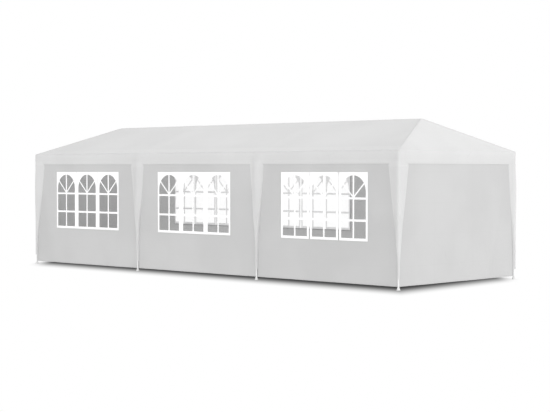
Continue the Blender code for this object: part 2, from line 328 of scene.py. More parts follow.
def write_value(mesh, name, per_vertex):
    layer = mesh.attributes.new(name, "FLOAT", "POINT")
    layer.data.foreach_set("value", np.asarray(per_vertex, np.float32))


def spaced(a, b, step):
    """Even points from a up to, and without, b."""
    n = max(1, math.ceil(abs(b - a) / step - 1e-9))
    return [a + (b - a) * i / n for i in range(n)]


def smooth(x, low, high):
    t = min(1.0, max(0.0, (x - low) / (high - low)))
    return t * t * (3.0 - 2.0 * t)


def wobble(p, scale, seed=0.0):
    return noise.noise(Vector((p[0] * scale + seed, p[1] * scale - 1.7 * seed, p[2] * scale + 0.6 * seed)))


# Walls
class Wall:
    """One wall panel: its plane, its span, its window, and how its cloth stands off the plane."""

    def __init__(self, name, along, plane, out, span, seed, window=None, past_leg=(True, True)):
        self.name, self.along, self.plane, self.out = name, along, plane, out
        self.span, self.seed, self.window, self.past_leg = span, seed, window, past_leg

    def stand(self, u, z):
        f = (u - self.span[0]) / (self.span[1] - self.span[0])
        g = (z - WALL_Z0) / (WALL_Z1 - WALL_Z0)
        seed = self.seed
        # an edge that runs behind a leg lies back on the plane; at a corner it stops short of the tube
        tied = 1.0
        for edge, behind in zip((f, 1 - f), self.past_leg):
            if behind:
                tied *= smooth(edge, 0.0, 0.09)
        belly = math.sin(math.pi * f) * math.sin(math.pi * min(1.0, 0.18 + 0.82 * g))
        d = tied * (0.0090 * smooth(1 - g, 0.0, 0.05) + 0.0025 * math.sin(1.7 * seed) * belly
                    + 0.0030 * wobble((u, z, seed), 1.2, seed))
        d += tied * 0.0012 * wobble((u, z, -seed), 3.7, 2 * seed)
        # long slack creases from the upper corners towards the hem
        for i, (cf, lean, size) in enumerate(((0.06, 0.55, 0.0030), (0.14, 0.95, 0.0022), (0.94, -0.62, 0.0028),
                                              (0.80, -1.10, 0.0018), (0.45, 0.35, 0.0016))):
            line = (f - cf - 0.02 * math.sin(seed + i)) * (self.span[1] - self.span[0]) - lean * (1 - g) * 0.9
            d += tied * size * math.sin(seed * (i + 1.3)) * math.exp(-(line / 0.055) ** 2) * smooth(1 - g, 0.05, 0.5)
        d += tied * 0.0050 * (1 - g) ** 3 * math.sin(2 * math.pi * u / 1.15 + seed)
        if self.window is not None:
            gap = max(abs(u - self.window) - 0.5 * WIN_W, abs(z - 0.5 * (WIN_Z0 + WIN_Z1)) - 0.5 * (WIN_Z1 - WIN_Z0))
            d *= 0.35 + 0.65 * smooth(gap, -0.02, 0.16)
        return d

    def point(self, u, z, off=0.0):
        w = self.plane + self.out * (self.stand(u, z) + off)
        return (u, w, z) if self.along == "x" else (w, u, z)


walls = []
for side, sign in (("front", -1), ("back", 1)):
    for i in range(3):
        low = LEG_X[i] + (CORNER_CLEAR if i == 0 else 0.003)
        high = LEG_X[i + 1] - (CORNER_CLEAR if i == 2 else 0.003)
        mid = 0.5 * (LEG_X[i] + LEG_X[i + 1]) + WIN_SHIFT[side][i]
        walls.append(Wall("wall_%s_%s" % (side, PLACE[i]), "x", sign * (HALF_W - WALL_IN), sign, (low, high),
                          1.3 + 1.9 * i + (0.7 if sign > 0 else 0.0), mid, (i > 0, i < 2)))
for side, sign in (("left", -1), ("right", 1)):
    walls.append(Wall("wall_end_" + side, "y", sign * (HALF_L - WALL_IN), sign,
                      (CORNER_CLEAR - HALF_W, HALF_W - CORNER_CLEAR),
                      4.4 + sign, past_leg=(False, False)))


def wall_gap(p, out, z):
    """Distance from a point of the cover in to the outer face of the wall behind it."""
    along = "x" if abs(out[1]) > 0.7 else "y"
    u, w = (p[0], out[1]) if along == "x" else (p[1], out[0])
    near = [q for q in walls if q.along == along and q.out * w > 0]
    wall = min(near, key=lambda q: max(q.span[0] - u, u - q.span[1], 0.0))
    edge = COVER_Y if along == "x" else COVER_X
    return edge - abs(wall.plane) - wall.stand(min(max(u, wall.span[0]), wall.span[1]), z)


# Roof cover. Plan of the eave: a rectangle with rounded corners, walked anticlockwise.
CORNER_ARC = 0.026
STEP = 0.040


def eave_ring():
    """Fractions and angles (ux, uy, angle) of the ring's points, the same at every height."""
    a, b = COVER_X - CORNER_ARC, COVER_Y - CORNER_ARC
    corner = [CORNER_SHAPE[0][1] + w for w in TOP_WIDER]

    def edges(legs, sign):
        stops = []
        for j in legs:
            x, half, shift = LEG_X[j % 4], FLAP_SHAPE[0][1] + TOP_WIDER[j], sign * TOP_SHIFT[j]
            stops += [x + shift - half, x, x + shift + half]
        return stops if sign > 0 else [-x for x in reversed(stops)]

    front = [-a, corner[0] + TOP_SHIFT[0] - COVER_X] + edges((1, 2), 1) + [COVER_X - corner[3] + TOP_SHIFT[3], a]
    back = [-a, corner[7] + TOP_SHIFT[7] - COVER_X] + edges((5, 6), -1) + [COVER_X - corner[4] + TOP_SHIFT[4], a]
    end_right = [-b, corner[3] + TOP_SHIFT[3] - COVER_Y, 0.0, COVER_Y - corner[7] + TOP_SHIFT[7], b]
    end_left = [-b, corner[4] + TOP_SHIFT[4] - COVER_Y, 0.0, COVER_Y - corner[0] + TOP_SHIFT[0], b]
    ring = []

    def side(stops, half, place):
        for low, high in zip(stops, stops[1:]):
            for u in spaced(low, high, STEP):
                if abs(u - stops[0]) > 1e-9:
                    ring.append(place(u / half))

    def corner(sx, sy, start):
        for i in range(9):
            ring.append((sx, sy, math.radians(start + 90.0 * i / 8)))

    side(front, a, lambda t: (t, -1.0, math.radians(-90)))
    corner(1.0, -1.0, -90)
    side(end_right, b, lambda t: (1.0, t, 0.0))
    corner(1.0, 1.0, 0)
    side(back, a, lambda t: (-t, 1.0, math.radians(90)))
    corner(-1.0, 1.0, 90)
    side(end_left, b, lambda t: (-1.0, -t, math.radians(180)))
    corner(-1.0, -1.0, 180)
    return np.array(ring)


RING = eave_ring()
COUNT = len(RING)


def plan(v):
    """Plan points of the ring at height fraction v, 0 at the eave and 1 at the ridge."""
    r = CORNER_ARC * (1.0 - v)
    a = COVER_X + (RIDGE_X - COVER_X) * v - r
    b = COVER_Y * (1.0 - v) - r
    return np.stack([RING[:, 0] * a + r * np.cos(RING[:, 2]), RING[:, 1] * b + r * np.sin(RING[:, 2])], axis=1)


EAVE = plan(0.0)
TOP = plan(1.0)
STEP_LEN = np.linalg.norm(np.roll(EAVE, -1, axis=0) - EAVE, axis=1)
ALONG = np.concatenate([[0.0], np.cumsum(STEP_LEN)])
AROUND = ALONG[-1]
OUTWARD = np.stack([np.cos(RING[:, 2]), np.sin(RING[:, 2]), np.zeros(COUNT)], axis=1)
RISE = RIDGE_Z - EAVE_Z
SLOPE_VEC = np.concatenate([TOP - EAVE, np.full((COUNT, 1), RISE)], axis=1)
SLOPE_LEN = np.linalg.norm(SLOPE_VEC, axis=1)
SLOPE_DIR = SLOPE_VEC / SLOPE_LEN[:, None]


def slope_normals():
    """Roof normals at the ring's points; they turn from side to end round the corners."""
    side_n = np.array([0.0, SLOPE_SIDE, 1.0]) / math.hypot(SLOPE_SIDE, 1.0)
    end_n = np.array([SLOPE_END, 0.0, 1.0]) / math.hypot(SLOPE_END, 1.0)
    c, s = np.cos(RING[:, 2]), np.sin(RING[:, 2])
    share = (c * c)[:, None]
    n = (1 - share) * (side_n * np.stack([np.zeros(COUNT), np.sign(s), np.ones(COUNT)], axis=1))
    n = n + share * (end_n * np.stack([np.sign(c), np.zeros(COUNT), np.ones(COUNT)], axis=1))
    return n / np.linalg.norm(n, axis=1)[:, None]


SLOPE_N = slope_normals()
FOLD_LEN = 0.011
# The valance hangs this much less deep at the left end than from the third leg on
VALANCE_RISE = 0.018
# The valance and the leg covers turn in from this far beside a leg until they almost touch the walls
WRAP_FROM, TOUCH = 0.022, 0.0022
# A leg cover's edges, round the leg to the wall: (metres further along, share of the way in)
RETURN = ((0.0030, 0.04), (0.0062, 0.14), (0.0092, 0.31), (0.0118, 0.54), (0.0136, 0.80), (0.0144, 1.0))
CLOSE_IN = 0.0080
# How far each corner cover hangs out from the eave, half way down
HANG_OUT = (0.010, 0.0, 0.0, 0.006, 0.008, 0.0, 0.0, 0.016)
LEG_SPOTS = [(x, y) for y in (-HALF_W, HALF_W) for x in LEG_X]


def leg_along(x, y):
    """Where a leg stands along the ring."""
    target = np.array([math.copysign(COVER_X, x) if abs(x) > 4 else x, math.copysign(COVER_Y, y)])
    if abs(x) > 4:
        mids = [k for k in range(COUNT) if abs(math.cos(2 * RING[k, 2])) < 1e-6]
        k = min(mids, key=lambda m: np.linalg.norm(EAVE[m] - target))
    else:
        k = int(np.argmin(np.linalg.norm(EAVE - target, axis=1)))
    return ALONG[k]


LEG_S = [leg_along(x, y) for x, y in LEG_SPOTS]


def ring_gap(s, centre):
    """Signed distance along the ring."""
    return (s - centre + 0.5 * AROUND) % AROUND - 0.5 * AROUND


def flap_half(j, z):
    """Leg cover j's half width along the ring at height z."""
    corner = abs(LEG_SPOTS[j][0]) > 4
    shape = CORNER_SHAPE if corner else FLAP_SHAPE
    width = float(np.interp(z, [q[0] for q in reversed(shape)], [q[1] for q in reversed(shape)]))
    width += TOP_WIDER[j] * (width - shape[-1][1]) / (shape[0][1] - shape[-1][1])
    return width - CORNER_ARC * (1 - math.pi / 4) if corner else width


def flap_mid(j, z):
    """Where along the ring the middle of leg cover j is at height z."""
    return LEG_S[j] + TOP_SHIFT[j] * (z - FLAP_Z) / (VALANCE_Z - FLAP_Z)


def cover_rows():
    """Rows of the cover from the valance's bottom to the ridge: (positions, normals, h)."""
    rows = []
    base = np.concatenate([EAVE, np.full((COUNT, 1), EAVE_Z)], axis=1)
    down = np.array([0.0, 0.0, -1.0])
    low_drop = EAVE_Z - VALANCE_Z
    shorter = 1.0 - VALANCE_RISE / low_drop * np.clip((1.4 - EAVE[:, :1]) / (1.4 + COVER_X), 0.0, 1.0)
    drops = [low_drop, low_drop - 0.020] + spaced(low_drop - 0.045, 0.035, 0.030) + [0.035, FOLD_LEN]
    for drop in drops:
        rows.append((base + drop * shorter * down, OUTWARD, -drop, 0.0))
    for i in range(1, 7):
        t = i / 7.0
        bend = (1 - t) ** 2 * FOLD_LEN * down + t * t * FOLD_LEN * SLOPE_DIR
        n = (1 - t) * OUTWARD + t * SLOPE_N
        n = n / np.linalg.norm(n, axis=1)[:, None]
        rows.append((base + bend, n, (2 * t - 1) * FOLD_LEN, 0.0))
    stops = [0.0] + spaced(0.018, 0.96, 0.026) + [0.96, 0.975, 0.985, 0.992, 0.997, 1.0]
    for v in stops:
        reach = FOLD_LEN + v * (SLOPE_LEN - FOLD_LEN)
        p = base + reach[:, None] * SLOPE_DIR
        rows.append((p, SLOPE_N, None, v))
    return rows


def cover_offset(p, s, h, v, k):
    """How far the cloth stands off its straight shape, outwards positive."""
    x, y, z = p
    front = abs(math.sin(RING[k, 2])) > 0.99
    end = abs(math.cos(RING[k, 2])) > 0.99
    d = 0.0022 * wobble(p, 1.1, 3.0) + 0.0010 * wobble(p, 3.4, 9.0)
    if h > 0.02:
        fade = smooth(h, 0.0, 0.12) * (1.0 - smooth(v, 0.93, 1.0))
        d *= fade
        if front:
            hip = COVER_X + (RIDGE_X - COVER_X) * v
            stops = (-hip, LEG_X[1], LEG_X[2], hip)
            for low, high in zip(stops, stops[1:]):
                if low <= x <= high:
                    f = (x - low) / max(high - low, 1e-6)
                    d -= 0.011 * (4 * f * (1 - f)) ** 0.8 * math.sin(math.pi * min(1.0, v)) ** 0.8
            for rib in LEG_X[1:3]:
                d += 0.0030 * math.exp(-((x - rib) / 0.028) ** 2) * fade
        if end:
            half = COVER_Y * (1 - v) + 1e-6
            f = min(1.0, abs(y) / half)
            d -= 0.008 * (1 - f * f) * math.sin(math.pi * min(1.0, v)) ** 0.8
        # soft folds that fan out from the legs' tops
        for q, spot in zip(LEG_S, LEG_SPOTS):
            gap = ring_gap(s, q)
            r = math.hypot(gap, h)
            if r < 1.4:
                angle = math.atan2(gap, h)
                d += 0.0026 * math.exp(-((r - 0.22) / 0.30) ** 2) * math.cos(6 * angle + 2.1 * spot[0] + spot[1]) * fade
    else:
        hang = smooth(-h, 0.0, 0.20)
        near, j = min((abs(ring_gap(s, q)), i) for i, q in enumerate(LEG_S))
        turned = hang * smooth(near, WRAP_FROM, flap_half(j, VALANCE_Z))
        room = wall_gap(p, OUTWARD[k], VALANCE_Z) - TOUCH
        wave = math.sin(2 * math.pi * s / 0.83 + 1.3 * math.sin(0.9 * s)) + 0.6 * math.sin(2 * math.pi * s / 0.37 + 2.0)
        d = d * hang + turned * (0.0006 + 0.0006 * wave - room)
        for q in LEG_S:
            gap = abs(ring_gap(s, q))
            if 0.02 < gap < 1.2:
                # creases that run down and out from the leg's top
                for lean, size in ((1.6, 0.0030), (3.2, 0.0022)):
                    d += size * math.exp(-((gap + lean * h - 0.10) / 0.035) ** 2) * smooth(-h, 0.01, 0.08)
        d = max(d, -0.0004 - room * turned)
    return d


def ring_place(s):
    """Plan point and outward direction at a distance along the ring."""
    s = s % AROUND
    k = min(max(int(np.searchsorted(ALONG, s, side="right")) - 1, 0), COUNT - 1)
    n = (k + 1) % COUNT
    f = (s - ALONG[k]) / max(STEP_LEN[k], 1e-9)
    out = (1 - f) * OUTWARD[k] + f * OUTWARD[n]
    return (1 - f) * EAVE[k] + f * EAVE[n], out / np.linalg.norm(out)


def flap_point(j, share, z, side=0.0, back=0.0, lift=0.0):
    """A point on leg cover j: share is -1 to 1 across its front, side and back lead round its edge."""
    drop, half, mid = VALANCE_Z - z, flap_half(j, z), flap_mid(j, z)
    p, out = ring_place(mid + share * half + math.copysign(side * smooth(drop, 0.0, 0.03), share))
    room = wall_gap(p, out, z) - TOUCH
    turned = smooth(half, 0.045, 0.130) * smooth(abs(mid - LEG_S[j] + share * half), WRAP_FROM, half)
    top = np.interp((flap_mid(j, VALANCE_Z) + share * flap_half(j, VALANCE_Z)) % AROUND, ALONG, VALANCE_STAND)
    stand = top + (-turned * room - top) * smooth(drop, 0.0, 0.25)
    stand += 0.0012 * (1 + math.sin(5.1 * z + 1.9 * j + 2.2 * share)) * smooth(drop, 0.0, 0.4) * abs(share)
    # lower down the cloth lies close round the tube
    stand -= CLOSE_IN * smooth(drop, 0.3, 1.2)
    stand += HANG_OUT[j] * smooth(drop, 0.0, 0.45) * math.sqrt(max(0.0, 1.0 - abs(share)))
    depth = back * (room + 0.9 * TOUCH + stand) if back and drop > 0.0 else 0.0
    return np.array([p[0], p[1], z]) + out * (stand + lift - depth)


VALANCE_STAND = np.zeros(COUNT + 1)


def roof_cover():
    points, cloth = [], []
    rows = cover_rows()
    grid = np.zeros((len(rows), COUNT), int)
    for i, (base, normal, h, v) in enumerate(rows):
        for k in range(COUNT):
            reach = h if h is not None else FOLD_LEN + v * (SLOPE_LEN[k] - FOLD_LEN)
            stand = cover_offset(base[k], ALONG[k], reach, v, k)
            q = base[k] + normal[k] * stand
            front = abs(math.sin(RING[k, 2])) >= 0.7
            if i == 0:
                VALANCE_STAND[k] = stand
            if h is None:
                # the ridge is round over its pole
                away = math.hypot(max(0.0, abs(q[0]) - RIDGE_X), q[1])
                q[2] -= (SLOPE_SIDE if front else SLOPE_END) * (math.hypot(away, 0.012) - away)
            grid[i, k] = len(points)
            points.append(q)
            cloth.append((base[k][0] if front else base[k][1] + 2 * END_CLOTH, reach))
    VALANCE_STAND[COUNT] = VALANCE_STAND[0]
    faces = []
    for i in range(len(rows) - 1):
        for k in range(COUNT):
            n = (k + 1) % COUNT
            faces.append((grid[i, k], grid[i, n], grid[i + 1, n], grid[i + 1, k]))
    for j, (x, y) in enumerate(LEG_SPOTS):
        full, mid = flap_half(j, VALANCE_Z), flap_mid(j, VALANCE_Z)
        columns = [k for k in range(COUNT) if abs(ring_gap(ALONG[k], mid)) < full + 1e-6]
        columns.sort(key=lambda m: ring_gap(ALONG[m], mid))
        across = [(ring_gap(ALONG[k], mid) / full, 0.0, 0.0) for k in columns]
        across = [(-1.0, a, b) for a, b in reversed(RETURN)] + across + [(1.0, a, b) for a, b in RETURN]
        n = len(RETURN)
        last = [grid[0, columns[0]]] * n + [grid[0, k] for k in columns] + [grid[0, columns[-1]]] * n
        for z in spaced(VALANCE_Z, VALANCE_Z - 0.08, 0.020)[1:] + spaced(VALANCE_Z - 0.08, FLAP_Z, 0.040) + [FLAP_Z]:
            now = []
            for share, side, back in across:
                now.append(len(points))
                points.append(flap_point(j, share, z, side, back))
                cloth.append((flap_mid(j, z) + share * (flap_half(j, z) + side + 0.04 * back), z - EAVE_Z))
            for m in range(len(across) - 1):
                loop = (now[m], now[m + 1], last[m + 1], last[m])
                faces.append(loop if last[m + 1] != last[m] else loop[:3])
            last = now
    obj = add_mesh("roof_cloth_cover", points, faces, ROOF_CLOTH)
    write_uv(obj.data, cloth)
    bm = bmesh.new()
    bm.from_mesh(obj.data)
    top = [v for v in bm.verts if v.co.z > RIDGE_Z - 0.02 and abs(v.co.y) < 1e-4]
    bmesh.ops.remove_doubles(bm, verts=top, dist=1e-5)
    bm.to_mesh(obj.data)
    surface = BVHTree.FromBMesh(bm)
    bm.free()
    return obj, surface, [[Vector(points[i]) for i in row] for row in grid[:12]]


def tapes(name, bands, mat, thick=0.0006):
    """Sewn tapes: each band is rows of points across it, and all are one piece."""
    points, faces, uvs = [], [], []
    for rows in bands:
        start, n = len(points), len(rows[0])
        across = 0.0
        for i, row in enumerate(rows):
            if i:
                across += math.dist(row[n // 2], rows[i - 1][n // 2])
            run = 0.0
            for k, p in enumerate(row):
                if k:
                    run += math.dist(p, row[k - 1])
                points.append(p)
                uvs.append((run, across))
        faces += [(start + i * n + k, start + i * n + k + 1, start + (i + 1) * n + k + 1, start + (i + 1) * n + k)
                  for i in range(len(rows) - 1) for k in range(n - 1)]
    obj = add_mesh(name, points, faces, mat)
    write_uv(obj.data, uvs)
    solid = obj.modifiers.new("thickness", "SOLIDIFY")
    solid.thickness, solid.offset = thick, 0.0
    thicker = bpy.data.meshes.new_from_object(obj.evaluated_get(bpy.context.evaluated_depsgraph_get()))
    obj.modifiers.clear()
    obj.data = thicker
    thicker.set_sharp_from_angle(angle=math.radians(50))
    return obj


def drape(surface, path, half, lift):
    """Rows of a tape laid along a path on the cover."""
    rows = [[], [], [], [], []]
    for i, p in enumerate(path):
        along = (path[min(i + 1, len(path) - 1)] - path[max(i - 1, 0)]).normalized()
        side = along.cross(surface.find_nearest(p)[1]).normalized()
        for row, f in zip(rows, (-1.0, -0.5, 0.0, 0.5, 1.0)):
            hit, n = surface.find_nearest(p + side * (f * half))[:2]
            row.append(hit + n * lift)
    return rows


cover, cover_surface, low_rows = roof_cover()
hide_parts("roof_cover")
LIFT = 0.0006
bands = []
HEM = 0.018


def on_valance(at, up):
    """A point on the valance at a distance along the ring, up to 20 mm above its bottom."""
    at = at % AROUND
    k = min(max(int(np.searchsorted(ALONG, at, side="right")) - 1, 0), COUNT - 1)
    f = (at - ALONG[k]) / STEP_LEN[k]
    low, high = (row[k].lerp(row[(k + 1) % COUNT], f) for row in low_rows[:2])
    return low.lerp(high, up / 0.020) + LIFT * Vector(OUTWARD[k])


def hem_share(j, z, inset):
    """A hem's inset as a share of leg cover j's half width; both hems narrow where they would cross."""
    return min(inset / flap_half(j, z), 0.96 * inset / HEM)


# hem round the valance between the leg covers, mitred where it meets theirs
for j in range(8):
    here = flap_mid(j, VALANCE_Z) + flap_half(j, VALANCE_Z)
    following = min((q for q in range(8) if q != j), key=lambda q: (LEG_S[q] - LEG_S[j]) % AROUND)
    width = (flap_mid(following, VALANCE_Z) - flap_half(following, VALANCE_Z) - here) % AROUND
    inner = sorted((ALONG[k] - here) % AROUND for k in range(COUNT) if 0.001 < (ALONG[k] - here) % AROUND < width - 0.001)
    bands.append([[on_valance(here + at, up) for at in [-up] + inner + [width + up]] for up in (0.0, HEM)])
# edges and foot of the leg covers
for j in range(8):
    zs = [VALANCE_Z - 0.004] + spaced(VALANCE_Z - 0.020, FLAP_Z, 0.045) + [FLAP_Z]
    for sign in (-1.0, 1.0):
        rows = []
        for inset in (HEM, 0.5 * HEM, 0.0005):
            edge = flap_mid(j, VALANCE_Z) + sign * (flap_half(j, VALANCE_Z) - inset)
            rows.append([on_valance(edge, up) for up in (inset, 0.0)]
                        + [flap_point(j, sign * (1.0 - hem_share(j, z, inset)), z, lift=LIFT) for z in zs])
        bands.append(rows)
    shares = [-1.0 + i / 6.0 for i in range(13)]
    bands.append([[flap_point(j, f * 0.98, z, lift=LIFT + 0.0006) for f in shares] for z in (FLAP_Z + 0.001, FLAP_Z + 0.020)])
# the four hips
for sx in (-1, 1):
    for sy in (-1, 1):
        low, high = Vector((sx * (COVER_X - 0.01), sy * (COVER_Y - 0.01), EAVE_Z)), Vector((sx * RIDGE_X, 0.0, RIDGE_Z))
        bands.append(drape(cover_surface, [low.lerp(high, 0.005 + 0.98 * i / 48) for i in range(49)], 0.010, LIFT))
roof_tape = tapes("roof_seams", bands, ROOF_TAPE)


def wall_sheet(wall):
    w0, w1 = (wall.window - 0.5 * WIN_W, wall.window + 0.5 * WIN_W) if wall.window is not None else (0, 0)
    low, high = wall.span
    stops = [low, low + 0.02] + ([w0, w1] if wall.window is not None else []) + [high - 0.02, high]
    us = [u for a, b in zip(stops, stops[1:]) for u in spaced(a, b, 0.045)] + [high]
    z_stops = [WALL_Z0, WALL_Z0 + 0.025] + ([WIN_Z0, WIN_Z1] if wall.window is not None else []) + [WALL_Z1 - 0.025, WALL_Z1]
    zs = [z for a, b in zip(z_stops, z_stops[1:]) for z in spaced(a, b, 0.045)] + [WALL_Z1]
    points = [wall.point(u, z) for z in zs for u in us]
    n = len(us)
    faces = []
    for i in range(len(zs) - 1):
        for k in range(n - 1):
            mid_u, mid_z = 0.5 * (us[k] + us[k + 1]), 0.5 * (zs[i] + zs[i + 1])
            if wall.window is not None and w0 < mid_u < w1 and WIN_Z0 < mid_z < WIN_Z1:
                continue
            quad = (i * n + k, i * n + k + 1, (i + 1) * n + k + 1, (i + 1) * n + k)
            faces.append(quad if (wall.out < 0) == (wall.along == "x") else quad[::-1])
    obj = add_mesh(wall.name + "_cloth", points, faces, WALL_CLOTH)
    write_uv(obj.data, [(u - (wall.window or 0.0), z) for z in zs for u in us])
    bm = bmesh.new()
    bm.from_mesh(obj.data)
    bmesh.ops.delete(bm, geom=[v for v in bm.verts if not v.link_faces], context="VERTS")
    bm.to_mesh(obj.data)
    bm.free()
    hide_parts(wall.name)
    return obj


def wall_tapes(wall):
    """Hems round the panel and the band sewn round its window."""
    low, high = wall.span
    us = spaced(low, high, 0.05) + [high]
    zs = spaced(WALL_Z0, WALL_Z1, 0.05) + [WALL_Z1]
    bands = []
    for a, b in ((WALL_Z0, WALL_Z0 + 0.020), (WALL_Z1 - 0.020, WALL_Z1)):
        bands.append([[wall.point(u, z, LIFT) for u in us] for z in (a, b)])
    for a, b in ((low, low + 0.020), (high - 0.020, high)):
        bands.append([[wall.point(u, z, LIFT + 0.0009) for z in zs] for u in (a, b)])
    if wall.window is not None:
        a, b = wall.window - 0.5 * WIN_W, wall.window + 0.5 * WIN_W
        t = 0.016
        us = spaced(a - t, b + t, 0.05) + [b + t]
        zs = spaced(WIN_Z0, WIN_Z1, 0.05) + [WIN_Z1]
        bands.append([[wall.point(u, z, LIFT) for u in us] for z in (WIN_Z0 - t, WIN_Z0)])
        bands.append([[wall.point(u, z, LIFT) for u in us] for z in (WIN_Z1, WIN_Z1 + t)])
        bands.append([[wall.point(u, z, LIFT) for z in zs] for u in (a - t, a)])
        bands.append([[wall.point(u, z, LIFT) for z in zs] for u in (b, b + t)])
    return tapes(wall.name + "_hems", bands, WALL_TAPE)


def ring_mesh(points, faces, path, radius, sides=6):
    """Add a closed round cord along a path of points to a mesh being built."""
    n, start = len(path), len(points)
    for i in range(n):
        along = (path[(i + 1) % n] - path[i - 1]).normalized()
        a = along.orthogonal().normalized() if i == 0 else (a - along * a.dot(along)).normalized()
        b = along.cross(a)
        for k in range(sides):
            t = 2 * math.pi * k / sides
            points.append(path[i] + radius * (math.cos(t) * a + math.sin(t) * b))
    for i in range(n):
        m = (i + 1) % n
        for k in range(sides):
            q = (k + 1) % sides
            faces.append((start + i * sides + k, start + i * sides + q, start + m * sides + q, start + m * sides + k))


def wall_ties(wall):
    """Eyelets along the panel's top and the elastic loops that hang it from the rail."""
    low, high = wall.span
    eye_points, eye_faces, cord_points, cord_faces = [], [], [], []
    z = WALL_Z1 - 0.011
    rail = HALF_W if wall.along == "x" else HALF_L
    for i in range(6):
        u = low + (high - low) * (0.04 + 0.92 * i / 5)

        def spot(du, w, dz):
            return Vector((u + du, w, z + dz)) if wall.along == "x" else Vector((w, u + du, z + dz))

        base = wall.plane + wall.out * wall.stand(u, z)
        for face in (0.0018, -0.0014):
            ring = [spot(0.0075 * math.cos(t), base + wall.out * face, 0.0075 * math.sin(t))
                    for t in [2 * math.pi * k / 20 for k in range(20)]]
            ring_mesh(eye_points, eye_faces, ring, 0.0016)
        # round the rail, then both ends down through the eyelet
        r, up = POLE_R + 0.0018, RAIL_Z - z
        loop = [spot(0.0, wall.out * rail + wall.out * r * math.cos(t), up + r * math.sin(t))
                for t in [math.radians(-60 + 285 * k / 22) for k in range(23)]]
        inner = base - wall.out * 0.004
        outer = base + wall.out * 0.004
        loop += [spot(0.001, inner - wall.out * 0.002, 0.006), spot(0.0, base, -0.001), spot(-0.001, outer, 0.004)]
        ring_mesh(cord_points, cord_faces, loop, 0.0014)
    eyes = add_mesh(wall.name + "_eyelets", eye_points, eye_faces, NICKEL)
    cords = add_mesh(wall.name + "_ties", cord_points, cord_faces, ELASTIC)
    return eyes, cords


# Window bars: three arched units side by side, printed on the film
UNIT_PITCH, OUTER_HALF, BAR_W = 0.609, 0.2975, 0.030
# Half the clear width of a unit, and the clear gap between two units
CLEAR_HALF = {"front": 0.2525, "back": 0.2610}
UNIT_GAP = {"front_left": 0.003, "front_mid": 0.003, "front_right": 0.022,
            "back_left": 0.018, "back_mid": 0.030, "back_right": 0.024}
# One window is printed less evenly: how far each of its gaps lies off a third of its width
GAP_SHIFT = {"front_right": (0.016, 0.013)}
PANE_Z = (0.741, 0.997, 1.030, 1.333, 1.364)
SPRING_Z, FAN_W = 1.447, 0.022


def clip(poly, point, normal):
    """The part of a convex polygon on the side of a line that its normal points to."""
    out = []
    for a, b in zip(poly, poly[1:] + poly[:1]):
        da = (a[0] - point[0]) * normal[0] + (a[1] - point[1]) * normal[1]
        db = (b[0] - point[0]) * normal[0] + (b[1] - point[1]) * normal[1]
        if da >= 0:
            out.append(a)
        if (da > 0) != (db > 0) and abs(da - db) > 1e-12:
            f = da / (da - db)
            out.append((a[0] + f * (b[0] - a[0]), a[1] + f * (b[1] - a[1])))
    return out


def finer(poly, step=0.03):
    out = []
    for a, b in zip(poly, poly[1:] + poly[:1]):
        n = max(1, math.ceil(math.dist(a, b) / step))
        out += [(a[0] + (b[0] - a[0]) * i / n, a[1] + (b[1] - a[1]) * i / n) for i in range(n)]
    return out


def pane_holes(clear_half, rise):
    """Clear panes of one unit, about its middle line, and how far its arch rises."""
    half_bar = 0.5 * BAR_W
    panes = []
    for low, high in ((PANE_Z[0], PANE_Z[1]), (PANE_Z[2], PANE_Z[3])):
        for s in (-1, 1):
            xs = sorted((s * half_bar, s * clear_half))
            panes.append([(xs[0], low), (xs[1], low), (xs[1], high), (xs[0], high)])
    base = PANE_Z[4]
    arch = [(-clear_half, base), (clear_half, base)]
    arch += [(clear_half * math.cos(a), SPRING_Z + rise * math.sin(a))
             for a in [math.pi * i / 40 for i in range(41)]]
    for s in (-1, 1):
        root = (0.0, base)
        fan = (-math.sin(math.radians(45)) * s, math.cos(math.radians(45)))
        upper = clip(arch, (s * half_bar, 0.0), (s, 0.0))
        shift = 0.5 * FAN_W
        high = clip(upper, (root[0] + shift * fan[0], root[1] + shift * fan[1]), fan)
        low = clip(upper, (root[0] - shift * fan[0], root[1] - shift * fan[1]), (-fan[0], -fan[1]))
        panes += [high, low]
    return panes


def window_units(place):
    """For each unit of a window: its outer edges and the edges of its clear width, about the window's middle."""
    clear, half_gap = CLEAR_HALF[place.split("_")[0]], 0.5 * UNIT_GAP[place]
    inner = 0.5 * UNIT_PITCH - clear
    gaps = [0.5 * sign * UNIT_PITCH + shift for sign, shift in zip((-1, 1), GAP_SHIFT.get(place, (0.0, 0.0)))]
    outer, clear_end = UNIT_PITCH + OUTER_HALF, UNIT_PITCH + clear
    return ((-outer, gaps[0] - half_gap, -clear_end, gaps[0] - inner),
            (gaps[0] + half_gap, gaps[1] - half_gap, gaps[0] + inner, gaps[1] - inner),
            (gaps[1] + half_gap, outer, gaps[1] + inner, clear_end))


